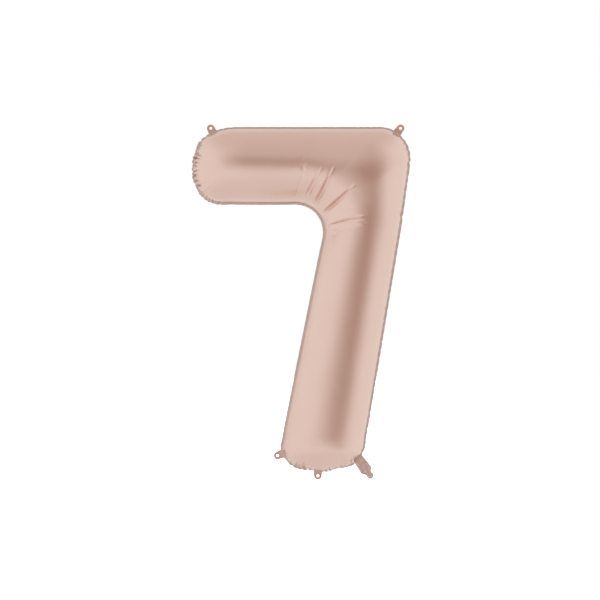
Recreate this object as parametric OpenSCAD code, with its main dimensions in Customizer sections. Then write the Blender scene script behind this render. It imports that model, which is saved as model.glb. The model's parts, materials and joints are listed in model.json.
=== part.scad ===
// Foil number balloon: an air-filled figure seven made of two metallised film panels sealed
// together round their edge, with four hanging tabs, a filling tail and a self-closing valve.
// Origin: midway between the two upper hanging holes. +Z is up and the front panel faces -Y.
// The outline sizes are taken at the seam, where the two panels meet.

/* [Figure] */
// Height of the top bar
bar_h = 194; // [140:1:240]
// Overall width, from the bar's left end to the right shoulder
figure_w = 563; // [480:1:680]
// Overall height, from the top seam to the foot's seam
figure_h = 895; // [720:1:1080]
// Width of the foot
foot_w = 215; // [170:1:260]
// Distance of the foot's left side from the bar's left end
foot_inset = 231; // [190:1:270]
// Straight part of the right side below the shoulder's corner
shoulder_h = 30; // [0:1:60]
// How much more the stem's left side leans than its right, in degrees
stem_flare = 2; // [0:0.25:4]

/* [Corners] */
// Bar's upper left corner, half axes across and down
bar_top_corner = [110, 82]; // [40:1:130]
// Bar's lower left corner, half axes across and down
bar_low_corner = [74, 74]; // [40:1:90]
// Shoulder corner, half axes across and down
shoulder_corner = [74, 82]; // [40:1:110]
// Foot's left corner, half axes across and down
foot_left_corner = [79, 61]; // [40:1:90]
// Foot's right corner, half axes across and down
foot_right_corner = [87, 77]; // [40:1:100]
// Radius of the inner corner under the bar
inner_corner_r = 76; // [40:1:110]

/* [Inflation] */
// Depth of the filled tube, front to back
tube_depth = 190; // [120:1:220]
// Extra depth at the shoulder, as a share of the tube's depth
shoulder_swell = 0.12; // [0:0.01:0.25]
// Length over which the tube closes down to the seam at its two ends
end_taper = 112; // [60:1:150]

/* [Film] */
// Thickness of one film panel
film_t = 0.3; // [0.2:0.05:0.6]
// Thickness of the fused seal between the two panels
seal_t = 0.3; // [0.1:0.05:0.4]
// Width of the sealed margin outside the seam
seal_w = 5; // [3:0.5:8]

/* [Hanging tabs] */
// Radius of a tab's round end
tab_r = 10; // [8:0.5:13]
// Width of a tab where it leaves the margin
tab_root_w = 24; // [22:1:32]
// Distance of the two lower holes from the margin
tab_reach = 12.5; // [11:0.5:18]
// Radius of the punched holes
hole_r = 3.75; // [2:0.25:5]
// Height of the upper holes above the top seam
hang_rise = 2; // [0:0.5:6]
// Place of the upper left tab on its corner, in degrees from the top
top_left_turn = 33; // [28:1:40]
// Place of the upper right tab on its corner, in degrees from the top
top_right_turn = 34; // [30:1:42]
// Place of the lower left tab on its corner, in degrees from the bottom
low_left_turn = 72; // [50:1:80]
// Place of the bottom tab along the foot's straight edge, from 0 left to 1 right
foot_tab_share = 0.3; // [0:0.05:1]

/* [Filling tail and valve] */
// Place of the tail on the foot's right corner, in degrees from the bottom
tail_turn = 52; // [40:1:65]
// Lean of the tail towards the foot, from square to the margin, in degrees
tail_lean = 13; // [0:1:25]
// Width of the tail where it leaves the margin
tail_root_w = 28; // [20:1:34]
// Greatest width of the tail
tail_w = 32; // [24:1:40]
// Distance from the margin to the tail's widest place
tail_widest = 36; // [25:1:50]
// Distance from the margin to the middle of the tail's round tip
tail_reach = 53; // [45:1:80]
// Radius of the tail's round tip
tail_tip_r = 9; // [6:0.5:12]
// Width of the tail where it meets its tip
tail_neck_w = 15; // [8:1:16]
// Length of the valve films inside the body
valve_len = 110; // [60:1:150]
// Width of the valve films
valve_w = 22; // [16:1:26]
// Length of the release coat, from the valve's mouth
coat_len = 45; // [20:1:55]
// Width of the release coat
coat_w = 14; // [8:1:15]

/* [Fits] */
// Gap between the margin and a tab or the tail, at their folds
fold_gap = 0.65; // [0.5:0.05:0.9]
// Gap between the valve and the seam
valve_gap = 0.4; // [0.3:0.05:0.8]

/* [Hidden] */

end_steps = 10;    // stations along each end's corners
bar_steps = 6;     // stations along the straight bar
fan_steps = 8;     // stations along each third of the fan round the inner corner
stem_steps = 10;   // stations along the stem
across_steps = 14; // facets across the tube, from seam to seam
ring_fn = 48;
tip_steps = 10;    // facets along each half of the tail's round tip

ply_t = film_t + seal_t / 2;  // one ply of a tab or of the tail, with its half of the weld
foil = [0.85, 0.72, 0.66];
back_foil = [0.80, 0.66, 0.60];
weld = [0.70, 0.52, 0.47];
valve_film = [0.92, 0.92, 0.90];
release_ink = [0.55, 0.62, 0.68];

// The outline is worked out from the bar's upper left corner, with x to the right and z up.
foot_left_x = foot_inset;
foot_right_x = foot_inset + foot_w;

function unit(v) = v / norm(v);
function left_of(v) = [-v[1], v[0]];
function blend(a, b, share) = a + (b - a) * share;

// Point on a corner's quarter ellipse, turned away from the vertical, and the way it faces
function corner_point(middle, axes, side, turn) =
    middle + [side[0] * axes[0] * sin(turn), side[1] * axes[1] * cos(turn)];
function corner_facing(axes, side, turn) =
    unit([side[0] * sin(turn) / axes[0], side[1] * cos(turn) / axes[1]]);

bar_top_middle = [bar_top_corner[0], -bar_top_corner[1]];
bar_low_middle = [bar_low_corner[0], -bar_h + bar_low_corner[1]];
shoulder_middle = [figure_w - shoulder_corner[0], -shoulder_corner[1]];
foot_left_middle = [foot_left_x + foot_left_corner[0], -figure_h + foot_left_corner[1]];
foot_right_middle = [foot_right_x - foot_right_corner[0], -figure_h + foot_right_corner[1]];

// The stem's left side leans from the inner corner's arc down to the foot's left corner.
stem_left_low = [foot_left_x, foot_left_middle[1]];
stem_right_low = [foot_right_x, foot_right_middle[1]];
shoulder_low = [figure_w, shoulder_middle[1] - shoulder_h];
stem_lean = stem_flare
    + atan((shoulder_low[0] - stem_right_low[0]) / (shoulder_low[1] - stem_right_low[1]));
inner_middle_z = -bar_h - inner_corner_r;
inner_middle_x = stem_left_low[0]
    - ((stem_left_low[1] - inner_middle_z) * sin(stem_lean) + inner_corner_r) / cos(stem_lean);
inner_middle = [inner_middle_x, inner_middle_z];
function inner_arc(share) =
    inner_middle + inner_corner_r * [cos(90 - share * (90 + stem_lean)),
                                     sin(90 - share * (90 + stem_lean))];

// Where the fan's last station meets the right side, square across the stem
fan_end_z = inner_arc(1)[1] + foot_w * cos(stem_lean) * sin(stem_lean);
fan_end = blend(shoulder_low, stem_right_low,
                (shoulder_low[1] - fan_end_z) / (shoulder_low[1] - stem_right_low[1]));

// Each station is a line across the tube: [inner end, outer end, its place from 0 to 1 in the
// fan or -1 outside it]. The inner side runs under the bar and down the stem's left.
bar_stations = concat(
    [for (k = [0 : end_steps])
        let (turn = 90 * (1 - k / end_steps))
        [corner_point(bar_low_middle, bar_low_corner, [-1, -1], turn),
         corner_point(bar_top_middle, bar_top_corner, [-1, 1], turn), -1]],
    [for (k = [1 : bar_steps])
        [[blend(bar_low_middle[0], inner_middle[0], k / bar_steps), -bar_h],
         [blend(bar_top_middle[0], inner_middle[0], k / bar_steps), 0], -1]]);
fan_stations = [for (k = [1 : 3 * fan_steps])
    let (share = k / (3 * fan_steps), part = k / fan_steps)
    [inner_arc(share),
     part <= 1 ? [blend(inner_middle[0], shoulder_middle[0], part), 0]
     : part <= 2 ? corner_point(shoulder_middle, shoulder_corner, [1, 1], 90 * (part - 1))
     : blend([figure_w, shoulder_middle[1]], fan_end, part - 2), share]];
stem_stations = [for (k = [1 : stem_steps])
    [blend(inner_arc(1), stem_left_low, k / stem_steps),
     blend(fan_end, stem_right_low, k / stem_steps), -1]];
foot_stations = [for (k = [1 : end_steps])
    let (turn = 90 * (1 - k / end_steps))
    [corner_point(foot_left_middle, foot_left_corner, [-1, -1], turn),
     corner_point(foot_right_middle, foot_right_corner, [1, -1], turn), -1]];
stations = concat(bar_stations, fan_stations, stem_stations, foot_stations);
last = len(stations) - 1;

// Half depth of the tube at a station: it closes at both ends and swells at the shoulder.
function middle_of(s) = (s[0] + s[1]) / 2;
function from_bar_end(i) = middle_of(stations[i])[0];
function from_foot(i) = middle_of(stations[i])[1] + figure_h;
function closing(d) = d >= end_taper ? 1 : sqrt(max(0, 1 - pow(1 - d / end_taper, 2)));
function swell(i) =
    stations[i][2] < 0 ? 1 : 1 + shoulder_swell * pow(sin(180 * stations[i][2]), 2);
function half_depth(i) =
    tube_depth / 2 * closing(from_bar_end(i)) * closing(from_foot(i)) * swell(i);

// The seam as one loop: up the bar's end, along the top, down the right side, along the foot
// from right to left, up the stem's left side and back under the bar.
function across(s, j) = blend(s[0], s[1], (1 - cos(180 * j / across_steps)) / 2);
seam = concat([for (j = [0 : across_steps]) across(stations[0], j)],
              [for (i = [1 : last]) stations[i][1]],
              [for (j = [across_steps - 1 : -1 : 0]) across(stations[last], j)],
              [for (i = [last - 1 : -1 : 1]) stations[i][0]]);
seam_count = len(seam);
function facing(k) =
    left_of(unit(seam[(k + 1) % seam_count] - seam[(k + seam_count - 1) % seam_count]));
function seam_moved(distance) = [for (k = [0 : seam_count - 1]) seam[k] + distance * facing(k)];

// Place of a grid point in the seam's loop, for the grid's four sides
function outer_side(i) = across_steps + i;
function inner_side(i) = i == 0 ? 0 : seam_count - i;

// Points of one face of a panel: the seam moved inwards by inset, domed forward from base
function skin(inset, base) =
    let (edge = seam_moved(-inset))
    [for (i = [0 : last], j = [0 : across_steps])
        let (ends = [edge[inner_side(i)], edge[outer_side(i)]],
             spot = i == 0 ? edge[j]
                  : i == last ? edge[outer_side(last) + across_steps - j]
                  : across(ends, j),
             rise = half_depth(i) * sin(180 * j / across_steps))
        [spot[0], -(base + rise), spot[1]]];

row = across_steps + 1;
skin_count = (last + 1) * row;
loop_grid = concat([for (j = [0 : across_steps]) j],
                   [for (i = [1 : last]) i * row + across_steps],
                   [for (j = [across_steps - 1 : -1 : 0]) last * row + j],
                   [for (i = [last - 1 : -1 : 1]) i * row]);
function grid_faces(start, flip) =
    [for (i = [0 : last - 1], j = [0 : across_steps - 1], half = [0, 1])
        let (a = start + i * row + j, b = a + 1, c = a + row + 1, d = a + row,
             face = half == 0 ? [a, b, c] : [a, c, d])
        flip ? [face[2], face[1], face[0]] : face];
function band_faces(from, to) =
    [for (k = [0 : seam_count - 1], half = [0, 1])
        let (n = (k + 1) % seam_count)
        half == 0 ? [from[k], from[n], to[n]] : [from[k], to[n], to[k]]];

// One film panel: the domed skin with its thickness, and the flat margin round it
module film_panel() {
    margin = seam_moved(seal_w);
    points = concat(skin(0, seal_t / 2 + film_t),
                    skin(film_t, seal_t / 2),
                    [for (p = margin) [p[0], -(seal_t / 2 + film_t), p[1]]],
                    [for (p = margin) [p[0], -seal_t / 2, p[1]]]);
    outer_loop = loop_grid;
    inner_loop = [for (g = loop_grid) g + skin_count];
    front_edge = [for (k = [0 : seam_count - 1]) 2 * skin_count + k];
    rear_edge = [for (k = [0 : seam_count - 1]) 2 * skin_count + seam_count + k];
    polyhedron(points, concat(grid_faces(0, false),
                              grid_faces(skin_count, true),
                              band_faces(front_edge, outer_loop),
                              band_faces(rear_edge, front_edge),
                              band_faces(inner_loop, rear_edge)), convexity = 6);
}

// Seats of the tabs and the tail: [point on the seam, the way it faces]
top_left_seat = [corner_point(bar_top_middle, bar_top_corner, [-1, 1], top_left_turn),
                 corner_facing(bar_top_corner, [-1, 1], top_left_turn)];
top_right_seat = [corner_point(shoulder_middle, shoulder_corner, [1, 1], top_right_turn),
                  corner_facing(shoulder_corner, [1, 1], top_right_turn)];
low_left_seat = [corner_point(foot_left_middle, foot_left_corner, [-1, -1], low_left_turn),
                 corner_facing(foot_left_corner, [-1, -1], low_left_turn)];
foot_seat = [[blend(foot_left_middle[0], foot_right_middle[0], foot_tab_share), -figure_h],
             [0, -1]];
tail_seat = [corner_point(foot_right_middle, foot_right_corner, [1, -1], tail_turn),
             corner_facing(foot_right_corner, [1, -1], tail_turn)];

// The upper holes are level, so each upper tab reaches as far as its seat needs.
function level_reach(seat) = (hang_rise - seat[0][1]) / seat[1][1] - seal_w;
function hole_at(seat, reach) = seat[0] + (seal_w + reach) * seat[1];
hang_middle = (hole_at(top_left_seat, level_reach(top_left_seat))
               + hole_at(top_right_seat, level_reach(top_right_seat))) / 2;

// Moves the figure so that the origin lies midway between the upper holes
module from_hang_middle() {
    translate([-hang_middle[0], 0, -hang_middle[1]])
        children();
}

// Places a flat shape on its seat, with the shape's own x pointing away from the figure
module at_seat(seat) {
    translate(seat[0])
        rotate(atan2(seat[1][1], seat[1][0]))
            children();
}

// Stands a flat shape up in the seam's plane and gives it its thickness in front of rear
module film_piece(rear, thickness) {
    from_hang_middle()
        translate([0, rear, 0])
            rotate([90, 0, 0])
                linear_extrude(thickness)
                    children();
}

module front_ply() {
    color(foil)
        film_piece(0, ply_t)
            children();
}

module back_ply() {
    color(back_foil)
        film_piece(ply_t, ply_t)
            children();
}

module tab_outline(seat, reach) {
    start = seal_w + fold_gap;
    middle = seal_w + reach;
    at_seat(seat)
        difference() {
            union() {
                translate([middle, 0])
                    circle(tab_r, $fn = ring_fn);
                polygon([[start, -tab_root_w / 2], [middle, -tab_r],
                         [middle, tab_r], [start, tab_root_w / 2]]);
            }
            translate([middle, 0])
                circle(hole_r, $fn = ring_fn);
        }
}

module top_left_tab() { tab_outline(top_left_seat, level_reach(top_left_seat)); }
module top_right_tab() { tab_outline(top_right_seat, level_reach(top_right_seat)); }
module low_left_tab() { tab_outline(low_left_seat, tab_reach); }
module foot_tab() { tab_outline(foot_seat, tab_reach); }

// Point of the tail, by its distance from the margin and its distance from the tail's middle
function tail_point(reach, side) =
    [seal_w + reach * cos(tail_lean) - side * sin(tail_lean),
     -reach * sin(tail_lean) - side * cos(tail_lean)];

// Half the angle of the tip's round, which the neck runs into
tail_tip_turn = 180 - asin(tail_neck_w / (2 * tail_tip_r));

module tail() {
    start = seal_w + fold_gap;
    at_seat(tail_seat)
        polygon(concat(
            [[start, tail_root_w / 2], tail_point(tail_widest, -tail_w / 2)],
            [for (k = [-tip_steps : tip_steps])
                let (turn = tail_tip_turn * k / tip_steps)
                tail_point(tail_reach + tail_tip_r * cos(turn), tail_tip_r * sin(turn))],
            [tail_point(tail_widest, tail_w / 2), [start, -tail_root_w / 2]]));
}

// A flat strip of the valve: it starts inside the seam and follows the seam's curve there
module valve_strip(length, width) {
    intersection() {
        at_seat(tail_seat)
            translate([-valve_gap - length, -width / 2])
                square([length + valve_gap, width]);
        polygon(seam_moved(-valve_gap));
    }
}

module front_panel() {
    color(foil)
        from_hang_middle()
            film_panel();
}

module back_panel() {
    color(back_foil)
        mirror([0, 1, 0])
            from_hang_middle()
                film_panel();
}

module seal_band() {
    color(weld)
        film_piece(seal_t / 2, seal_t)
            difference() {
                polygon(seam_moved(seal_w));
                polygon(seam);
            }
}

module top_left_tab_front_ply() { front_ply() top_left_tab(); }
module top_left_tab_back_ply() { back_ply() top_left_tab(); }
module top_right_tab_front_ply() { front_ply() top_right_tab(); }
module top_right_tab_back_ply() { back_ply() top_right_tab(); }
module low_left_tab_front_ply() { front_ply() low_left_tab(); }
module low_left_tab_back_ply() { back_ply() low_left_tab(); }
module foot_tab_front_ply() { front_ply() foot_tab(); }
module foot_tab_back_ply() { back_ply() foot_tab(); }
module tail_front_ply() { front_ply() tail(); }
module tail_back_ply() { back_ply() tail(); }

module valve_front_film() {
    color(valve_film)
        film_piece(-seal_t / 2, film_t)
            valve_strip(valve_len, valve_w);
}

module valve_back_film() {
    color(valve_film)
        film_piece(seal_t / 2 + film_t, film_t)
            valve_strip(valve_len, valve_w);
}

module valve_release_coat() {
    color(release_ink)
        film_piece(seal_t / 2, seal_t)
            valve_strip(coat_len, coat_w);
}

front_panel();
back_panel();
seal_band();
top_left_tab_front_ply();
top_left_tab_back_ply();
top_right_tab_front_ply();
top_right_tab_back_ply();
low_left_tab_front_ply();
low_left_tab_back_ply();
foot_tab_front_ply();
foot_tab_back_ply();
tail_front_ply();
tail_back_ply();
valve_front_film();
valve_back_film();
valve_release_coat();
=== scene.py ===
# %% [markdown]
# # A foil number balloon, figure seven
# The real thing is two flat sheets of metallised film, cut as a big seven and welded together
# round the edge. Air does the rest: it pulls the two flat sheets into a fat tube, and because
# film hardly stretches, the spare film gathers into puckers along the weld and into folds at
# the inner corner. Here the two sheets start as a smooth dome with spare film where a real
# balloon has it, the cloth solver blows them up, and the finest puckers are pressed in after.

# %% Load the frame
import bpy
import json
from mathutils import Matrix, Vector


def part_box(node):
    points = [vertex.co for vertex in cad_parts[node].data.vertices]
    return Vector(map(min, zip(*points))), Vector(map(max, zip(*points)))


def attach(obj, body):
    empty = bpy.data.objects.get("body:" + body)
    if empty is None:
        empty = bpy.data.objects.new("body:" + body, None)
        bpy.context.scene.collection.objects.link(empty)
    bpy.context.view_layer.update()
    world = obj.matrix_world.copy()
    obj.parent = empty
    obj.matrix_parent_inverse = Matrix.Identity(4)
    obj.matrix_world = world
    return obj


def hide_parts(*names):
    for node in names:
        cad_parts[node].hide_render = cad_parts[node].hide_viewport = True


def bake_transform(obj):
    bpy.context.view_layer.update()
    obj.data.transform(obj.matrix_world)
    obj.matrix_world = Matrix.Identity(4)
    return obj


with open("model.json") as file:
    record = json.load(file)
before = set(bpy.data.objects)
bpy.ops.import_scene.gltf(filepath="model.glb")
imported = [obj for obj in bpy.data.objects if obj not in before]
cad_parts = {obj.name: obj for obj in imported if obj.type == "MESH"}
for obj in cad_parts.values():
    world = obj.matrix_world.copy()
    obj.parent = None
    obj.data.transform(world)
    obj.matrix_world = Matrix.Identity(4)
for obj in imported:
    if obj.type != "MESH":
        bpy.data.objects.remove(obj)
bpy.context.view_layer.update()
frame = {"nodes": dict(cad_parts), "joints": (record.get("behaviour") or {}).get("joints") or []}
folds_of = {joint["child"]: joint for joint in frame["joints"]}
seam_low, seam_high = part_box("seal_band")

import json
import math
import random

import bmesh
import bpy
import numpy as np
from mathutils import Matrix, Vector

# %% [markdown]
# ## The figure's measures
# All lengths are in metres. The filled figure is measured at the weld's inner edge. A flat tube
# of width W fills to a round one 2/pi W across, so each long side of the flat cut lies
# (pi/2 - 1) / 2 of the filled width further out than it does on the filled figure. A closed end
# draws in less than a side does.

# %% Filled sizes, and the flat cut they come from
MARGIN, FILM, WELD = 0.005, 0.0003, 0.0003
filled = dict(
    bar_h=0.194, figure_w=0.563, figure_h=0.895, foot_w=0.215, foot_inset=0.231,
    shoulder_h=0.030, stem_flare=math.radians(2),
    bar_top=(0.110, 0.082), bar_low=(0.074, 0.074), shoulder=(0.074, 0.082),
    foot_left=(0.079, 0.061), foot_right=(0.087, 0.077), inner_r=0.076,
    left=round(seam_low.x + MARGIN, 6), top=round(seam_high.z - MARGIN, 6))
side_growth = (math.pi / 2 - 1) * filled["bar_h"] / 2
end_growth = 0.036


def grown(corner, across, down):
    return (corner[0] + across, corner[1] + down)


cut = dict(
    bar_h=filled["bar_h"] + 2 * side_growth,
    figure_w=filled["figure_w"] + end_growth + side_growth,
    figure_h=filled["figure_h"] + side_growth + end_growth,
    foot_w=filled["foot_w"] + 2 * side_growth,
    foot_inset=filled["foot_inset"] + end_growth - side_growth,
    shoulder_h=filled["shoulder_h"], stem_flare=filled["stem_flare"],
    bar_top=grown(filled["bar_top"], end_growth, side_growth),
    bar_low=grown(filled["bar_low"], end_growth, side_growth),
    shoulder=grown(filled["shoulder"], side_growth, side_growth),
    foot_left=grown(filled["foot_left"], side_growth, end_growth),
    foot_right=grown(filled["foot_right"], side_growth, end_growth),
    inner_r=filled["inner_r"],
    left=filled["left"] - end_growth, top=filled["top"] + side_growth)
print("flat cut", round(cut["figure_w"], 3), "by", round(cut["figure_h"], 3), "m")

# %% [markdown]
# ## Stations across the tube
# The outline is laid out as lines across the tube, from its inner side to its outer side. The
# same stations on the flat cut and on the filled figure tell where each point of film ends up.

# %% Lay out the stations
END, BAR, FAN, STEM, ACROSS = 34, 18, 28, 52, 46  # cells along each stretch, and across


def between(a, b, share):
    return np.asarray(a) + (np.asarray(b) - np.asarray(a)) * share


def corner_point(middle, axes, side, turn):
    return np.array([middle[0] + side[0] * axes[0] * math.sin(turn),
                     middle[1] + side[1] * axes[1] * math.cos(turn)])


def stations(s):
    """The inner and the outer end of each station, as two arrays of points (x, z)."""
    quarter = math.pi / 2
    foot_l, foot_r = s["foot_inset"], s["foot_inset"] + s["foot_w"]
    top_m = (s["bar_top"][0], -s["bar_top"][1])
    low_m = (s["bar_low"][0], -s["bar_h"] + s["bar_low"][1])
    sho_m = (s["figure_w"] - s["shoulder"][0], -s["shoulder"][1])
    fl_m = (foot_l + s["foot_left"][0], -s["figure_h"] + s["foot_left"][1])
    fr_m = (foot_r - s["foot_right"][0], -s["figure_h"] + s["foot_right"][1])
    sho_low = np.array([s["figure_w"], sho_m[1] - s["shoulder_h"]])
    right_low, left_low = np.array([foot_r, fr_m[1]]), np.array([foot_l, fl_m[1]])
    lean = s["stem_flare"] + math.atan((sho_low[0] - foot_r) / (sho_low[1] - fr_m[1]))
    mid_z = -s["bar_h"] - s["inner_r"]
    mid_x = foot_l - ((fl_m[1] - mid_z) * math.sin(lean) + s["inner_r"]) / math.cos(lean)

    def arc(share):
        turn = quarter - share * (quarter + lean)
        return np.array([mid_x + s["inner_r"] * math.cos(turn),
                         mid_z + s["inner_r"] * math.sin(turn)])
    end_z = arc(1)[1] + s["foot_w"] * math.cos(lean) * math.sin(lean)
    fan_end = between(sho_low, right_low, (sho_low[1] - end_z) / (sho_low[1] - right_low[1]))
    rows = []
    for k in range(END + 1):
        turn = quarter * (1 - k / END)
        rows.append((corner_point(low_m, s["bar_low"], (-1, -1), turn),
                     corner_point(top_m, s["bar_top"], (-1, 1), turn)))
    for k in range(1, BAR + 1):
        rows.append((between((low_m[0], -s["bar_h"]), (mid_x, -s["bar_h"]), k / BAR),
                     between((top_m[0], 0), (mid_x, 0), k / BAR)))
    for k in range(1, 3 * FAN + 1):
        part = k / FAN
        if part <= 1:
            outer = between((mid_x, 0), (sho_m[0], 0), part)
        elif part <= 2:
            outer = corner_point(sho_m, s["shoulder"], (1, 1), quarter * (part - 1))
        else:
            outer = between((s["figure_w"], sho_m[1]), fan_end, part - 2)
        rows.append((arc(k / (3 * FAN)), outer))
    for k in range(1, STEM + 1):
        rows.append((between(arc(1), left_low, k / STEM), between(fan_end, right_low, k / STEM)))
    for k in range(1, END + 1):
        turn = quarter * (1 - k / END)
        rows.append((corner_point(fl_m, s["foot_left"], (-1, -1), turn),
                     corner_point(fr_m, s["foot_right"], (1, -1), turn)))
    shift = np.array([s["left"], s["top"]])
    return (np.array([r[0] for r in rows]) + shift, np.array([r[1] for r in rows]) + shift)


ROWS = END + BAR + 3 * FAN + STEM + END
cut_in, cut_out = stations(cut)
full_in, full_out = stations(filled)
print(ROWS + 1, "stations of", ACROSS + 1, "points")

# %% [markdown]
# ## Two sheets of film, welded at the edge
# Each sheet is one grid, ACROSS cells wide and ROWS cells long. The cells narrow towards the
# inner corner like the spokes of a fan, so film that has nowhere to go folds along the spokes,
# as it does on a real figure. The two grids share their edge points. They could start on the
# flat cut, as the real sheets do, but the solver then gathers each closed end into one large
# notch. A dome on the filled figure is a calmer start, and the flat cut only gives distances
# over the film and the size of the cut.

# %% Make the double sheet
STEPS = (1 - np.cos(np.pi * np.arange(ACROSS + 1) / ACROSS)) / 2
EVEN = np.arange(ACROSS + 1) / ACROSS


def sheet_points(inner, outer, shares):
    """Points (x, z) of the whole grid, station by station."""
    return inner[:, None] + (outer - inner)[:, None] * shares[None, :, None]


def add_grid(bm, side):
    """A grid whose points carry their station, their place across and their side."""
    i_of, j_of = (bm.verts.layers.int.get(n) or bm.verts.layers.int.new(n)
                  for n in ("station", "across"))
    side_of = bm.verts.layers.int.get("side") or bm.verts.layers.int.new("side")
    made = bmesh.ops.create_grid(bm, x_segments=ROWS, y_segments=ACROSS, size=1)["verts"]
    for v in made:
        v[i_of] = round((v.co.x + 1) / 2 * ROWS)
        v[j_of] = round((v.co.y + 1) / 2 * ACROSS)
        v[side_of] = side
    return made


TUBE_DEPTH, SWELL = 0.190, 0.12
BAR_END_REACH, FOOT_REACH = 0.15, 0.10
middle = (full_in + full_out) / 2
fan_share = np.clip((np.arange(ROWS + 1) - END - BAR) / (3 * FAN), 0, 1)


def closing(d, reach):
    """How full the tube is at a distance from its closed end, from 0 to 1."""
    return np.sqrt(np.clip(1 - np.clip(1 - d / reach, 0, 1) ** 3, 0, 1))


half_depth = (TUBE_DEPTH / 2 * closing(middle[:, 0] - filled["left"], BAR_END_REACH)
              * closing(middle[:, 1] + filled["figure_h"] - filled["top"], FOOT_REACH)
              * (1 + SWELL * np.sin(math.pi * fan_share) ** 2))
flat = sheet_points(cut_in, cut_out, EVEN)
dome = sheet_points(full_in, full_out, STEPS)
for i in (0, ROWS):
    dome[i] = sheet_points(full_in, full_out, EVEN)[i]


def edge_distance(grid):
    """Flat distance of each grid point from the nearest point of the edge."""
    rim = np.concatenate([grid[0], grid[-1], grid[:, 0], grid[:, -1]])
    return np.array([np.sqrt(((rim[None] - row[:, None]) ** 2).sum(-1).min(1)) for row in grid])


def bump(x, middle, width):
    """1 at the middle, fading to nothing over the width."""
    return np.exp(-((x - middle) / width) ** 2)


from_edge = edge_distance(dome)
from_bar_end = dome[..., 0] - filled["left"]
from_foot = dome[..., 1] + filled["figure_h"] - filled["top"]
end_part = np.clip(1.3 - from_bar_end / 0.075, 0, 1) + np.clip(1.3 - from_foot / 0.060, 0, 1)
shoulder_part = (bump(dome[..., 0], filled["left"] + filled["figure_w"], 0.09)
                 * bump(dome[..., 1], filled["top"] - 0.05, 0.10))
inner_part = np.sin(math.pi * fan_share)[:, None] * bump(EVEN[None], 0.0, 0.33)
spare_share = np.clip((0.6 * end_part + 0.5 * shoulder_part)
                      * bump(from_edge, 0, 0.022) + 0.4 * inner_part, 0, 1)
print("spare film over", (spare_share > 0.3).mean().round(3), "of the sheet")

SEAM_RISE, UNEVEN = 0.0005, 0.0005
random.seed(7)
bm = bmesh.new()
add_grid(bm, 0)
add_grid(bm, 1)
i_of, j_of, side_of = (bm.verts.layers.int[n] for n in ("station", "across", "side"))
for v in bm.verts:
    i, j, toward = v[i_of], v[j_of], -1 if v[side_of] == 0 else 1
    inside = 0 < i < ROWS and 0 < j < ACROSS
    rise = SEAM_RISE + half_depth[i] * math.sin(math.pi * j / ACROSS) if inside else 0
    uneven = random.gauss(0, UNEVEN) * spare_share[i, j] if inside else 0
    v.co = (dome[i, j, 0], toward * (rise + uneven), dome[i, j, 1])
bmesh.ops.remove_doubles(bm, verts=[v for v in bm.verts if abs(v.co.y) < 1e-9], dist=1e-6)
bmesh.ops.recalc_face_normals(bm, faces=bm.faces)
if bm.calc_volume(signed=True) < 0:
    bmesh.ops.reverse_faces(bm, faces=bm.faces)
sack_mesh = bpy.data.meshes.new("sack")
bm.to_mesh(sack_mesh)
bm.free()
print("sack of", len(sack_mesh.vertices), "points,", len(sack_mesh.polygons), "cells")

# %% [markdown]
# ## Air
# Blender's cloth has a pressure setting, which pushes every cell outwards. Its shrink setting
# turned round, with a value below zero, makes cloth larger than it was drawn, and a vertex group
# says where: the spare film lies near the closed ends, the shoulder and the inner corner. The
# normals must point outwards, or the pressure sucks the sack flat.

# %% Blow it up
FRAMES, SPARE, STIFF, BEND, PRESS, QUAL = 26, 0.16, 60, 0.6, 8, 6


def coords(mesh):
    out = np.zeros(len(mesh.vertices) * 3, np.float32)
    mesh.vertices.foreach_get("co", out)
    return out.reshape(-1, 3).astype(float)


def layer(mesh, name):
    out = np.zeros(len(mesh.vertices), np.int32)
    mesh.attributes[name].data.foreach_get("value", out)
    return out


def blow_up(mesh):
    """The mesh's points after air has filled it, by Blender's cloth."""
    sack = bpy.data.objects.new("sack", mesh)
    bpy.context.scene.collection.objects.link(sack)
    station, place = layer(mesh, "station"), layer(mesh, "across")
    snug = sack.vertex_groups.new(name="snug_film")
    for k in range(len(mesh.vertices)):
        snug.add([k], 1 - float(spare_share[station[k], place[k]]), "REPLACE")
    cloth = sack.modifiers.new("Air", "CLOTH")
    s = cloth.settings
    s.vertex_group_shrink = "snug_film"
    s.shrink_min = -SPARE
    s.shrink_max = 0.0
    s.quality = QUAL
    s.mass = 0.15
    s.tension_stiffness = s.compression_stiffness = STIFF
    s.shear_stiffness = STIFF / 2
    s.bending_stiffness = BEND
    s.tension_damping = s.compression_damping = s.shear_damping = 5
    s.bending_damping = 0.5
    s.use_pressure = True
    s.uniform_pressure_force = PRESS
    s.effector_weights.gravity = 0
    s.air_damping = 2
    cloth.collision_settings.use_collision = False
    cloth.point_cache.frame_start, cloth.point_cache.frame_end = 1, FRAMES
    for frame_number in range(1, FRAMES + 1):
        bpy.context.scene.frame_set(frame_number)
    done = coords(sack.evaluated_get(bpy.context.evaluated_depsgraph_get()).data)
    bpy.context.scene.frame_set(1)
    bpy.data.objects.remove(sack)
    return done


blown = blow_up(sack_mesh)
print("blown", np.ptp(blown, axis=0).round(4))

# %% [markdown]
# ## Bring the filled sack onto the figure
# The blown sack is a little off the measured figure. The edge is
# moved back in long, smooth waves only, so that the small scallops made by the air stay. A taut
# balloon pulls most of its creases flat again, so the shape is mixed: a bit under half of the
# cloth's own relief, on the smooth dome that it started from.

# %% Match the outline and the depth
station, place, side = (layer(sack_mesh, n) for n in ("station", "across", "side"))
spot = np.full((2, ROWS + 1, ACROSS + 1), -1)
spot[side, station, place] = np.arange(len(blown))
for one, other in ((0, 1), (1, 0)):
    spot[one] = np.where(spot[one] < 0, spot[other], spot[one])


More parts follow.
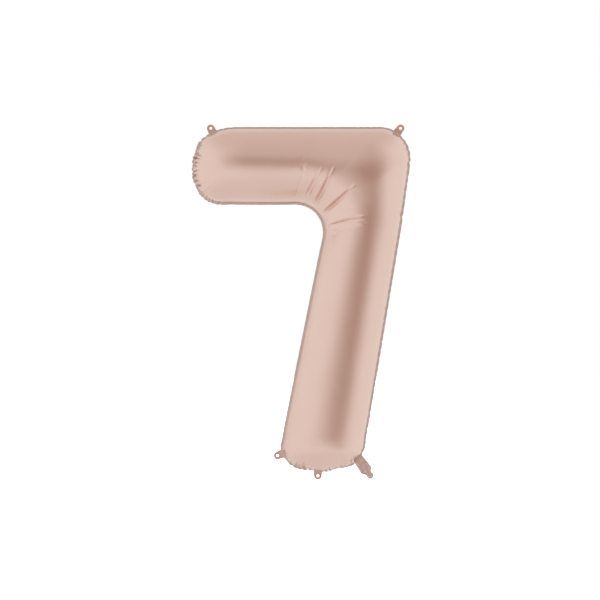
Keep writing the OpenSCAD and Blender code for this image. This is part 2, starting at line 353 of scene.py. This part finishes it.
def rim_loop(rows, across):
    """The grid's rim as one loop of (row, place) pairs."""
    return ([(0, j) for j in range(across + 1)] + [(i, across) for i in range(1, rows + 1)]
            + [(rows, j) for j in range(across - 1, -1, -1)]
            + [(i, 0) for i in range(rows - 1, 0, -1)])


loop = rim_loop(ROWS, ACROSS)
loop_at = {ij: k for k, ij in enumerate(loop)}
loop_spot = np.array([spot[0, i, j] for i, j in loop])


def ring_blur(values, along, width):
    """Values round a closed loop, blurred over a length along it."""
    total = along[-1] + along[1]
    apart = np.abs(along[:, None] - along[None])
    apart = np.minimum(apart, total - apart)
    weight = np.exp(-0.5 * (apart / width) ** 2)
    return weight @ values / weight.sum(axis=1, keepdims=True)


def along_loop(points):
    step = np.linalg.norm(np.diff(points, axis=0), axis=1)
    return np.concatenate([[0], np.cumsum(step)])


full = sheet_points(full_in, full_out, EVEN)
target = np.array([full[i, j] for i, j in loop])
target_along = along_loop(target)
apart = np.abs(np.arange(ROWS + 1)[:, None] - np.arange(ROWS + 1)[None])
ROWS_BLUR, WAVE = 8, 0.030
near_rows = np.exp(-0.5 * (apart / ROWS_BLUR) ** 2)


def fit(points):
    """The sack's points with the edge on the figure and the crown at the tube's depth."""
    miss = ring_blur(target - points[loop_spot][:, [0, 2]], target_along, WAVE)
    print("the edge moves by up to", (np.linalg.norm(miss, axis=1).max() * 1000).round(1), "mm")
    shift = np.zeros((ROWS + 1, ACROSS + 1, 2))
    for i in range(ROWS + 1):
        for j in range(ACROSS + 1):
            v = EVEN[j]
            shift[i, j] = (1 - v) * miss[loop_at[(i, 0)]] + v * miss[loop_at[(i, ACROSS)]]
            for end, steps in ((0, i), (ROWS, ROWS - i)):
                near = max(0.0, 1 - steps / (1.5 * END)) ** 2
                corners = (1 - v) * miss[loop_at[(end, 0)]] + v * miss[loop_at[(end, ACROSS)]]
                shift[i, j] += near * (miss[loop_at[(end, j)]] - corners)
    out = points.copy()
    out[:, [0, 2]] += shift[station, place]
    crown = np.abs(points[spot][..., 1]).max(axis=(0, 2))
    ratio = near_rows @ np.clip(half_depth / np.maximum(crown, 0.02), 0.7, 1.25)
    out[:, 1] *= (ratio / near_rows.sum(axis=1))[station]
    return out


CREASED = 0.45
taut = fit(coords(sack_mesh))
fitted = taut + CREASED * (fit(blown) - taut)
print("filled figure", np.ptp(fitted, axis=0).round(4))

# %% [markdown]
# ## Puckers along the weld, and folds at the inner corner
# Where the edge is curved, the spare film gathers into short sharp puckers, square to the weld,
# and the margin is drawn in at each of them, which scallops the outline. At the inner corner
# four long folds run out over the tube like spokes. They are finer than the cloth's own cells,
# so the two sheets are first drawn again with twice as many points, and the puckers are then
# pressed in along the surface's normal.

# %% Draw the sheets again, finer
FINE_ROWS, FINE_ACROSS = 2 * ROWS, 2 * ACROSS


def finer(grid):
    """The grid with a point between each two, on a smooth curve through them."""
    for axis in (0, 1):
        g = np.moveaxis(grid, axis, 0)
        before = np.concatenate([2 * g[:1] - g[1:2], g[:-2]])
        after = np.concatenate([g[2:], 2 * g[-1:] - g[-2:-1]])
        between_points = (9 * (g[:-1] + g[1:]) - before - after) / 16
        out = np.empty((2 * len(g) - 1, *g.shape[1:]))
        out[::2], out[1::2] = g, between_points
        grid = np.moveaxis(out, 0, axis)
    return grid


def on_rim(grid, pairs):
    """The grid's points along its rim."""
    return np.array([grid[i, j] for i, j in pairs])


sheets = [finer(fitted[spot[which]]) for which in (0, 1)]
fine_flat = finer(flat)
rim = rim_loop(FINE_ROWS, FINE_ACROSS)
rim_at = {ij: k for k, ij in enumerate(rim)}
shared = (on_rim(sheets[0], rim) + on_rim(sheets[1], rim)) / 2
rim_along = along_loop(shared[:, [0, 2]])
print("finer sheets of", sheets[0].shape[0] * sheets[0].shape[1], "points")

# %% Find each point's nearest place on the edge
flat_rim = on_rim(fine_flat, rim)
near_k = np.zeros(fine_flat.shape[:2], int)
near_d = np.zeros(fine_flat.shape[:2])
for i, line in enumerate(fine_flat):
    apart = np.sqrt(((line[:, None] - flat_rim[None]) ** 2).sum(-1))
    near_k[i], near_d[i] = apart.argmin(1), apart.min(1)
along_here = rim_along[near_k]

# %% Place the puckers
PUCKER_WIDTHS, PUCKER_LENGTHS, PUCKER_STEPS = (0.0018, 0.0032), (0.008, 0.026), (0.0075, 0.0145)
WIDEST_GAP, TILT = 0.030, 0.16
END_CROWD, FOOT_CROWD = 0.085, 0.075  # how far along the figure the ends crowd the film
SHOULDER_CROWD, RIGHT_SIDE, CALM_SIDE, CALM_TOP = 0.62, 0.42, 0.16, 0.12
rng = np.random.default_rng(11)
total = rim_along[-1] + rim_along[1]
rim_x = shared[:, 0] - filled["left"]
rim_z = shared[:, 2] + filled["figure_h"] - filled["top"]


def crowding(k):
    """How strongly the film gathers at one place of the edge, from 0 to 1."""
    x, z = rim_x[k], rim_z[k]
    ends = max(0.0, min(1.0, 1.35 - x / END_CROWD), min(1.0, 1.25 - z / FOOT_CROWD))
    top = shared[k, 2] > filled["top"] - 0.10
    shoulder = math.exp(-((x - filled["figure_w"]) / 0.06) ** 2) if top else 0.0
    side_x = (z / filled["figure_h"]) * 0.115 + 0.43
    straight = CALM_TOP if top else RIGHT_SIDE if x > side_x else CALM_SIDE
    return max(ends, SHOULDER_CROWD * shoulder, straight)


puckers = []
s_now = 0.0
while s_now < total - 0.006:
    k = int(np.searchsorted(rim_along, s_now)) % len(rim)
    much = crowding(k)
    puckers.append((s_now, much * rng.uniform(0.45, 1.0), rng.uniform(*PUCKER_WIDTHS),
                    rng.uniform(*PUCKER_LENGTHS) * (0.5 + much), rng.normal(0, TILT)))
    s_now += rng.uniform(*PUCKER_STEPS) + WIDEST_GAP * (1 - much) ** 2
print(len(puckers), "puckers")

# %% [markdown]
# ## Valleys with a ridge beside them
# A pucker is a narrow valley in the film with a low ridge beside it, deepest at the weld and
# fading over the tube. The folds at the inner corner have the same profile and run out from the
# corner's own centre. Each is a share of the corner's turn, where it starts and stops over the
# film, how deep it is next to the others, and how far it sways.

# %% Press them in
PUCKER_DEPTH, DRAW_IN = 0.0070, 0.0038
press = np.zeros(near_d.shape)
for at, depth, width, long, tilt in puckers:
    off = along_here - at
    off = (off + total / 2) % total - total / 2 - tilt * near_d
    close = np.abs(off) < 5 * width
    valley = np.exp(-np.abs(off[close] / width) ** 1.6)
    ridge = 0.45 * np.exp(-((off[close] - 2.1 * width) / (1.5 * width)) ** 2)
    reach = np.exp(-(near_d[close] / long) ** 1.5)
    press[close] += PUCKER_DEPTH * depth * (valley - ridge) * reach

FOLDS = ((0.165, 0.018, 0.095, 0.9, 0.05), (0.335, 0.008, 0.112, 1.25, -0.04),
         (0.545, 0.004, 0.112, 1.3, -0.03), (0.775, 0.010, 0.102, 0.8, 0.0),
         (0.255, 0.050, 0.090, 0.22, 0.02), (0.660, 0.035, 0.080, 0.25, 0.02))
FOLD_DEPTH, FOLD_WIDTH = 0.0040, 0.0019
inner_now = sheets[0][:, 0][:, [0, 2]]
hub = inner_now[2 * (END + BAR)] - (0, filled["inner_r"])
STEM_LEAN = math.radians(9.4)
fan_angle = math.pi / 2 + filled["stem_flare"] + STEM_LEAN
spoke = sheets[0][..., [0, 2]] - hub
reach_now = np.linalg.norm(spoke, axis=-1) - filled["inner_r"]
turn_now = (math.pi / 2 - np.arctan2(spoke[..., 1], spoke[..., 0])) / fan_angle
fold_press = np.zeros(near_d.shape)
for share, start, stop, depth, sway in FOLDS:
    along_fold = np.clip((reach_now - start) / (stop - start), 0, 1)
    off = (turn_now - share - sway * along_fold) * fan_angle * (filled["inner_r"] + reach_now)
    strength = np.sin(math.pi * along_fold ** 0.8) ** 0.7 * (np.abs(turn_now - share) < 0.3)
    valley = np.exp(-np.abs(off / FOLD_WIDTH) ** 1.5)
    ridge = 0.7 * np.exp(-((off - 2.4 * FOLD_WIDTH) / (1.8 * FOLD_WIDTH)) ** 2)
    fold_press += FOLD_DEPTH * depth * (valley - ridge) * strength
print("deepest pucker", (press.max() * 1000).round(2), "mm, fold",
      (fold_press.max() * 1000).round(2), "mm")


def normals(grid):
    """The unit normal at each grid point."""
    down, aside = np.gradient(grid, axis=0), np.gradient(grid, axis=1)
    n = np.cross(down, aside)
    return n / np.maximum(np.linalg.norm(n, axis=-1, keepdims=True), 1e-9)


CALM_REACH, EDGE_WAVE, EDGE_REACH, BACK_SHARE = 0.016, 0.0011, 0.012, 0.9
draw = np.zeros(len(rim))
for at, depth, width, long, tilt in puckers:
    off = (rim_along - at + total / 2) % total - total / 2
    draw += depth * np.exp(-np.abs(off / (1.4 * width)) ** 1.6)
draw -= ring_blur(draw[:, None], rim_along, 0.02)[:, 0]
wave = ring_blur(rng.normal(0, 1, (len(rim), 1)), rim_along, 0.005)[:, 0]
wave *= EDGE_WAVE / wave.std() * np.array([crowding(k) for k in range(len(rim))])
tangent = np.roll(shared, -3, axis=0)[:, [0, 2]] - np.roll(shared, 3, axis=0)[:, [0, 2]]
tangent /= np.linalg.norm(tangent, axis=1, keepdims=True)
outward = ring_blur(np.stack([-tangent[:, 1], tangent[:, 0]], axis=1), rim_along, 0.004)
outward /= np.linalg.norm(outward, axis=1, keepdims=True)


def fold_line(body):
    """The middle of a body's fold line, and the way that points from the figure there."""
    (x, _, z), (axis_x, _, axis_z) = folds_of[body]["pos_m"], folds_of[body]["axis"]
    return Vector((x, z)), Vector((-axis_z, axis_x))


SEATS = [root - away * MARGIN for root, away in map(fold_line, folds_of)]
calm = np.ones(len(rim))
for seat in SEATS:
    calm *= 1 - np.exp(-(np.linalg.norm(shared[:, [0, 2]] - seat, axis=1)
                          / CALM_REACH) ** 4)
edge_move = np.stack([-DRAW_IN * draw * calm * outward[:, 0], wave * calm,
                      -DRAW_IN * draw * calm * outward[:, 1]], axis=1)
near_edge = np.exp(-(near_d / EDGE_REACH) ** 1.3)[..., None]
for which, toward in ((0, -1), (1, 1)):
    n = normals(sheets[which])
    if (n[FINE_ROWS // 2, FINE_ACROSS // 2] * (0, toward, 0)).sum() < 0:
        n = -n
    here = press if which == 0 else press * BACK_SHARE
    sheets[which] = (sheets[which] - n * (here * calm[near_k] + fold_press)[..., None]
                     + edge_move[near_k] * near_edge)
    for k, (i, j) in enumerate(rim):
        sheets[which][i, j] = shared[k] + edge_move[k]
edge_now = shared + edge_move
flat_edge = edge_now[:, [0, 2]]

# %% [markdown]
# ## The two panels and their flat margin
# Outside the weld each sheet keeps a flat margin 5 mm wide, which follows the scallops. It is
# extruded from the edge of each sheet, pushed outwards in the plane of the weld.

# %% Make the front and the back panel
def new_object(name, bm):
    mesh = bpy.data.meshes.new(name)
    bm.to_mesh(mesh)
    bm.free()
    obj = bpy.data.objects.new(name, mesh)
    bpy.context.scene.collection.objects.link(obj)
    mesh.polygons.foreach_set("use_smooth", [True] * len(mesh.polygons))
    return obj


def panel(name, which):
    """One film panel: its grid at the finished points, and its margin."""
    toward = -1 if which == 0 else 1
    bm = bmesh.new()
    k_of = bm.verts.layers.int.new("rim")
    made = bmesh.ops.create_grid(bm, x_segments=FINE_ROWS, y_segments=FINE_ACROSS,
                                 size=1)["verts"]
    for v in made:
        i = round((v.co.x + 1) / 2 * FINE_ROWS)
        j = round((v.co.y + 1) / 2 * FINE_ACROSS)
        v.co = sheets[which][i, j]
        v.co.y += toward * (WELD / 2 + FILM)
        v[k_of] = rim_at.get((i, j), -1)
    border = [e for e in bm.edges if e.is_boundary]
    ring = bmesh.ops.extrude_edge_only(bm, edges=border)["geom"]
    for v in (g for g in ring if isinstance(g, bmesh.types.BMVert)):
        v.co.x += outward[v[k_of], 0] * MARGIN
        v.co.z += outward[v[k_of], 1] * MARGIN
    bmesh.ops.recalc_face_normals(bm, faces=bm.faces)
    top = max(bm.faces, key=lambda f: toward * f.calc_center_median().y)
    if top.normal.y * toward < 0:
        bmesh.ops.reverse_faces(bm, faces=bm.faces)
    obj = new_object(name, bm)
    solid = obj.modifiers.new("Film", "SOLIDIFY")
    solid.thickness = FILM
    solid.offset = -1
    return obj


front_foil = panel("front_foil", 0)
back_foil = panel("back_foil", 1)
for obj, node in ((front_foil, "front_panel"), (back_foil, "back_panel")):
    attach(obj, "balloon")
    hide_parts(node)
print("front panel", len(front_foil.data.polygons), "cells")

# %% [markdown]
# ## The weld
# Between the two margins lies the fused seam. On the real figure it only shows as a fine darker
# line at the cut edge, the seam's shadow side, so it is a thin strip that stands a hair proud of
# the margins, and its dark colour is painted shade.

# %% Lay the weld between the margins
PROUD = 0.0004


def ring_strip(name, inner_offset, outer_offset, thickness):
    """A closed strip that follows the edge, between two offsets from it."""
    bm = bmesh.new()
    made = bmesh.ops.create_circle(bm, segments=len(rim), radius=1)["verts"]
    order = sorted(made, key=lambda v: math.atan2(v.co.y, v.co.x))
    for k, v in enumerate(order):
        at = edge_now[k]
        v.co = (at[0] + outward[k, 0] * inner_offset, at[1],
                at[2] + outward[k, 1] * inner_offset)
    grown_by = outer_offset - inner_offset
    pairs = {tuple(round(c, 7) for c in v.co): k for k, v in enumerate(order)}
    ring = bmesh.ops.extrude_edge_only(bm, edges=bm.edges[:])["geom"]
    for v in (g for g in ring if isinstance(g, bmesh.types.BMVert)):
        k = pairs[tuple(round(c, 7) for c in v.co)]
        v.co.x += outward[k, 0] * grown_by
        v.co.z += outward[k, 1] * grown_by
    bmesh.ops.recalc_face_normals(bm, faces=bm.faces)
    obj = new_object(name, bm)
    solid = obj.modifiers.new("Film", "SOLIDIFY")
    solid.thickness, solid.offset = thickness, 0
    return obj


weld = ring_strip("weld", 0.0, MARGIN + PROUD, WELD)
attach(weld, "balloon")
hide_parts("seal_band")
print("weld of", len(weld.data.polygons), "cells")

# %% [markdown]
# ## Hanging tabs
# A tab is a tongue of the same two films, welded flat, with one punched hole. It is a ring: the
# hole and the outline are two circles with as many points, bridged. The outline is then pulled
# down to the root, which is tucked between the margins.

# %% Make the four tabs
TAB_R, HOLE_R, ROOT_HALF, TUCK, PLY = 0.010, 0.00375, 0.012, 0.0042, 0.0007
HANG_LEVEL, TAB_REACH = 0.0, 0.0125
TAB_POINTS, TAB_CUTS, BEVEL = 40, 7, 0.00015
TABS = ("top_left_tab", "top_right_tab", "low_left_tab", "foot_tab")


def hole_reach(name, root, away):
    """How far a tab's hole is from its fold: the two upper holes are level with each other."""
    return (HANG_LEVEL - root.y) / away.y if name.startswith("top") else TAB_REACH


def place_flat(bm, root, away, lift):
    """Stand local (reach, side) points up in the weld's plane at a root point."""
    aside = Vector((-away.y, away.x))
    for v in bm.verts:
        spot2 = root + away * v.co.x + aside * v.co.y
        v.co = (spot2.x, v.co.z + lift, spot2.y)


def edge_y_near(root):
    """How far the fitted edge stands out of the weld's plane near a root."""
    apart = np.linalg.norm(flat_edge - np.array(root), axis=1)
    return float(edge_now[apart < 0.012, 1].mean())


def make_tab(name):
    """One tab, both plies in one piece, with a faint ripple past its fold line."""
    root, away = fold_line(name)
    reach = hole_reach(name, root, away)
    bm = bmesh.new()
    parts = []
    for radius in (HOLE_R, TAB_R):
        parts.append(bmesh.ops.create_circle(bm, segments=TAB_POINTS, radius=radius)["verts"])
    for v in parts[1]:
        back = max(0.0, -v.co.x / TAB_R)
        pull = min(1.0, 1.5 * back)
        v.co.x = v.co.x * (1 - pull) - (reach + TUCK) * pull
        if back:
            wide = TAB_R + (ROOT_HALF - TAB_R) * pull
            v.co.y = wide * max(-1.0, min(1.0, v.co.y / TAB_R * (1 + 0.9 * back)))
    bmesh.ops.bridge_loops(bm, edges=bm.edges[:])
    spokes = [e for e in bm.edges if not e.is_boundary]
    bmesh.ops.subdivide_edges(bm, edges=spokes, cuts=TAB_CUTS, use_grid_fill=True)
    for v in bm.verts:
        v.co.x += reach
        v.co.z = 0.0006 * math.sin(v.co.x * 260) * (1 if v.co.x > 0 else 0)
    place_flat(bm, root, away, edge_y_near(root))
    bmesh.ops.recalc_face_normals(bm, faces=bm.faces)
    obj = new_object(name + "_film", bm)
    solid = obj.modifiers.new("Film", "SOLIDIFY")
    solid.thickness, solid.offset = PLY, 0
    edge = obj.modifiers.new("Edge", "BEVEL")
    edge.width, edge.segments, edge.limit_method = BEVEL, 2, "ANGLE"
    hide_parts(name + "_front_ply", name + "_back_ply")
    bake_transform(obj)
    return obj


tabs = [make_tab(name) for name in TABS]
print(len(tabs), "tabs")

# %% [markdown]
# ## Filling tail
# The tail is the open neck that the straw goes into: two limp plies, welded along their sides
# only, with a narrow neck and a round tip. Limp film keeps lengthwise folds, and the two plies
# share them, with a little air between.

# %% Make the tail
TAIL_ROOT, TAIL_AWAY = fold_line("tail")
TAIL_LEAN = math.radians(13)
TAIL_WIDTHS = ((-0.0045, 0.0140), (0.0, 0.0140), (0.012, 0.0148), (0.036, 0.0160),
               (0.041, 0.0118), (0.0455, 0.0080), (0.049, 0.0078), (0.053, 0.0090),
               (0.0575, 0.0078), (0.0605, 0.0050), (0.062, 0.0002))


def tail_half_width(reach):
    """Half the tail's width at a distance from its fold."""
    return float(np.interp(reach, *zip(*TAIL_WIDTHS)))


def make_tail(name, toward):
    """One limp ply of the tail."""
    bm = bmesh.new()
    bmesh.ops.create_grid(bm, x_segments=48, y_segments=20, size=1)
    for v in bm.verts:
        share, across = (v.co.x + 1) / 2, v.co.y
        reach = TAIL_WIDTHS[0][0] + share * (TAIL_WIDTHS[-1][0] - TAIL_WIDTHS[0][0])
        half = tail_half_width(reach)
        grows = min(1.0, max(0.0, reach) / 0.012) * min(1.0, (0.062 - reach) / 0.010)
        folds = (0.0011 * math.sin(7.2 * across + 9 * share)
                 + 0.0007 * math.sin(13 * across - 14 * share + 1.3)
                 + 0.0016 * math.sin(3.4 * share + 0.6))
        gap = 0.0004 + 0.0007 * (1 - across ** 2) * grows
        v.co = (reach, half * across, toward * gap + folds * grows)
    lean = Matrix.Rotation(-TAIL_LEAN, 4, "Z")
    for v in bm.verts:
        if v.co.x > 0:
            v.co = lean @ v.co
    place_flat(bm, TAIL_ROOT, TAIL_AWAY, edge_y_near(TAIL_ROOT))
    bmesh.ops.recalc_face_normals(bm, faces=bm.faces)
    obj = new_object(name + "_film", bm)
    solid = obj.modifiers.new("Film", "SOLIDIFY")
    solid.thickness, solid.offset = FILM, 0
    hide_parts(name)
    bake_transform(obj)
    return obj


tail_plies = [make_tail("tail_front_ply", -1), make_tail("tail_back_ply", 1)]
print(len(tail_plies), "tail plies")

# %% [markdown]


# %% [markdown]
# ## Finishes
# The film is metal under a thin, satin, rose gold lacquer: a metallic surface whose gloss is
# spread wide. A little of everything varies with the place: the lacquer's colour, how rough it
# is, and fine crinkles that only show as a soft break in the reflections.

# %% Make the finishes
def linear(r, g, b):
    """A colour from the 0 to 255 scale of a screen to the shader's own scale."""
    return tuple((c / 255 / 12.92) if c <= 10 else ((c / 255 + 0.055) / 1.055) ** 2.4
                 for c in (r, g, b))


def finish(name, light, dark, rough, metal=1.0, grain=180.0, crinkle=0.04, swell=0.25):
    """A finish with varied colour and gloss, and two sizes of bump."""
    mat = bpy.data.materials.new(name)
    mat.use_nodes = True
    tree = mat.node_tree
    shader = tree.nodes["Principled BSDF"]
    shader.inputs["Metallic"].default_value = metal
    place_node = tree.nodes.new("ShaderNodeTexCoord")

    def noise(scale, detail):
        n = tree.nodes.new("ShaderNodeTexNoise")
        n.inputs["Scale"].default_value = scale
        n.inputs["Detail"].default_value = detail
        tree.links.new(place_node.outputs["Object"], n.inputs["Vector"])
        return n.outputs["Fac"]
    broad, fine = noise(9.0, 2.0), noise(grain, 3.0)
    colour = tree.nodes.new("ShaderNodeMix")
    colour.data_type = "RGBA"
    colour.inputs["A"].default_value = (*light, 1)
    colour.inputs["B"].default_value = (*dark, 1)
    tree.links.new(broad, colour.inputs["Factor"])
    tree.links.new(colour.outputs["Result"], shader.inputs["Base Color"])
    gloss = tree.nodes.new("ShaderNodeMapRange")
    gloss.inputs["To Min"].default_value = rough - 0.05
    gloss.inputs["To Max"].default_value = rough + 0.05
    tree.links.new(fine, gloss.inputs["Value"])
    tree.links.new(gloss.outputs["Result"], shader.inputs["Roughness"])
    last = None
    for height, strength, depth in ((noise(26.0, 2.0), swell, 0.0012), (fine, crinkle, 0.0004)):
        bump_node = tree.nodes.new("ShaderNodeBump")
        bump_node.inputs["Strength"].default_value = strength
        bump_node.inputs["Distance"].default_value = depth
        tree.links.new(height, bump_node.inputs["Height"])
        if last:
            tree.links.new(last, bump_node.inputs["Normal"])
        last = bump_node.outputs["Normal"]
    tree.links.new(last, shader.inputs["Normal"])
    return mat


satin = finish("satin_rose_foil", linear(232, 205, 193), linear(226, 197, 184), 0.34)
margin_finish = finish("pressed_margin", linear(226, 203, 193), linear(214, 188, 177), 0.5,
                       metal=0.3)
# The weld's dark colour is painted shade: it stands in for the shadow side of the seam.
weld_shade_finish = finish("weld_painted_shade", linear(172, 136, 124), linear(140, 102, 92), 0.5, metal=0.4)
tab_finish = finish("tab_foil", linear(216, 184, 170), linear(204, 170, 156), 0.42, metal=0.6)
tail_finish = finish("limp_tail_foil", linear(222, 196, 186), linear(202, 174, 164), 0.40,
                     metal=0.5)
valve_finish = finish("milky_valve_film", linear(240, 240, 236), linear(228, 229, 226), 0.3,
                      metal=0.0)
coat_finish = finish("release_coat", linear(172, 186, 198), linear(158, 173, 187), 0.7,
                     metal=0.0)
for obj in (front_foil, back_foil):
    obj.data.materials.append(satin)
    obj.data.materials.append(margin_finish)
    for p in obj.data.polygons:
        p.material_index = 1 if p.index >= FINE_ROWS * FINE_ACROSS else 0
weld.data.materials.append(weld_shade_finish)
for obj in tabs:
    obj.data.materials.append(tab_finish)
for obj in tail_plies:
    obj.data.materials.append(tail_finish)
BY_NODE = {"valve_front_film": valve_finish, "valve_back_film": valve_finish,
           "valve_release_coat": coat_finish}
for name, obj in frame["nodes"].items():
    slots = obj.material_slots
    for k in range(len(slots)):
        slots[k].material = BY_NODE.get(name, satin)
print("finishes", [m.name for m in bpy.data.materials if m.users])

# %% [markdown]
# ## Studio
# Satin foil shows mostly what stands round it, so the room matters more than the lamps: a white
# room, brightest to the left and below, with a dull ceiling and one dimmer, warmer wall in front
# of the figure, and a fainter one behind it. The dim wall gives the tube its long soft band of
# shade. The floor is left out of the reflections, because its horizon would cut the band short.
# Angles are in degrees: a turn is 0 straight in front and grows to the right.

# %% Light the room
world = bpy.data.worlds.new("studio")
bpy.context.scene.world = world
world.use_nodes = True
sky = world.node_tree
sky.nodes.clear()


def link_or_set(tree, source, socket):
    """Feeds a socket from another node, or with a plain value."""
    if hasattr(source, "is_linked"):
        tree.links.new(source, socket)
    else:
        socket.default_value = source


def sums(op, *values):
    """One Math node."""
    n = sky.nodes.new("ShaderNodeMath")
    n.operation = op
    for k, value in enumerate(values):
        link_or_set(sky, value, n.inputs[k])
    return n.outputs[0]


def fade(value, start, end, low, high):
    """A smooth change from low to high as a value in degrees goes from start to end."""
    n = sky.nodes.new("ShaderNodeMapRange")
    n.interpolation_type = "SMOOTHSTEP"
    for socket, x in (("Value", value), ("From Min", math.radians(start)),
                      ("From Max", math.radians(end)), ("To Min", low), ("To Max", high)):
        link_or_set(sky, x, n.inputs[socket])
    return n.outputs["Result"]


def tint(amount, colour_a, colour_b):
    """A mix of two colours."""
    n = sky.nodes.new("ShaderNodeMix")
    n.data_type = "RGBA"
    link_or_set(sky, amount, n.inputs["Factor"])
    link_or_set(sky, colour_a, n.inputs["A"])
    link_or_set(sky, colour_b, n.inputs["B"])
    return n.outputs["Result"]


direction = sky.nodes.new("ShaderNodeTexCoord")
split = sky.nodes.new("ShaderNodeSeparateXYZ")
sky.links.new(direction.outputs["Generated"], split.inputs[0])
east, north, up = split.outputs
height_angle = sums("ARCSINE", up)


WALL_SLOPE, WALL_FOOT, WALL_TOP, WALL_TOP_DIM = 0.5, (-22, 10), (10, 30), 0.5
CEILING, CEILING_DIM, GROUND, GROUND_DIM, BACK_DIM = (32, 60), 0.32, (-30, -55), 0.16, 0.3
ROOM_LIGHT, BRIGHT, DIM = 0.99, (1.0, 0.995, 0.99, 1), (0.42, 0.28, 0.23, 1)


def dim_wall(facing, sideways, left, left_full, right_full, right):
    """How dim the room is: a wall whose foot slopes down to the right, under a dull ceiling."""
    turn = sums("ARCTAN2", sideways, facing)
    wide = sums("MULTIPLY", fade(turn, left, left_full, 0, 1),
                fade(turn, right_full, right, 1, 0))
    sloped = sums("ADD", height_angle, sums("MULTIPLY", turn, WALL_SLOPE))
    tall = sums("MULTIPLY", fade(sloped, *WALL_FOOT, 0, 1),
                fade(height_angle, *WALL_TOP, 1, WALL_TOP_DIM))
    return sums("MULTIPLY", wide, tall)


south = sums("MULTIPLY", north, -1.0)
west = sums("MULTIPLY", east, -1.0)
front_wall = dim_wall(south, east, -56, 8, 24, 74)
back_wall = sums("MULTIPLY", dim_wall(north, west, -62, -12, 24, 74), BACK_DIM)
overhead = fade(height_angle, *CEILING, 0, CEILING_DIM)
underneath = fade(height_angle, *GROUND, 0, GROUND_DIM)
dimness = sums("MAXIMUM", sums("MAXIMUM", front_wall, back_wall),
               sums("MAXIMUM", overhead, underneath))
room = tint(dimness, BRIGHT, DIM)
glow = sky.nodes.new("ShaderNodeBackground")
sky.links.new(room, glow.inputs["Color"])
glow.inputs["Strength"].default_value = ROOM_LIGHT
paper = sky.nodes.new("ShaderNodeBackground")
paper.inputs["Color"].default_value = (1, 1, 1, 1)
seen = sky.nodes.new("ShaderNodeLightPath")
either = sky.nodes.new("ShaderNodeMixShader")
sky.links.new(seen.outputs["Is Camera Ray"], either.inputs[0])
sky.links.new(glow.outputs[0], either.inputs[1])
sky.links.new(paper.outputs[0], either.inputs[2])
sky_out = sky.nodes.new("ShaderNodeOutputWorld")
sky.links.new(either.outputs[0], sky_out.inputs["Surface"])
bpy.context.scene.view_settings.view_transform = "Standard"

# %% Lay the floor
FLOOR_Z = -1.30
bm = bmesh.new()
bmesh.ops.create_grid(bm, x_segments=2, y_segments=2, size=12)
bmesh.ops.translate(bm, verts=bm.verts, vec=(0, 0, FLOOR_Z))
floor = new_object("floor", bm)
floor_paint = bpy.data.materials.new("white_floor")
floor_paint.use_nodes = True
floor_shader = floor_paint.node_tree.nodes["Principled BSDF"]
floor_shader.inputs["Base Color"].default_value = (0.9, 0.9, 0.9, 1)
floor_shader.inputs["Roughness"].default_value = 0.9
floor_shader.inputs["Emission Color"].default_value = (1, 1, 1, 1)
floor_shader.inputs["Emission Strength"].default_value = 1.0
floor.data.materials.append(floor_paint)
floor.visible_glossy = False
floor.visible_diffuse = False

# %% [markdown]
# ## Camera
# The camera looks straight at the figure from a few metres away, level with its middle, through
# a long lens, so the tube's sides hardly narrow with distance.

# %% Set up the camera
CAMERA_AT = (-0.0149, -3.73, -0.452)
lens = bpy.data.cameras.new("camera")
lens.lens = 85
camera = bpy.data.objects.new("camera", lens)
bpy.context.scene.collection.objects.link(camera)
camera.location = CAMERA_AT
camera.rotation_euler = (math.radians(90), 0, 0)
bpy.context.scene.camera = camera

# %% Update the scene
bpy.context.view_layer.update()
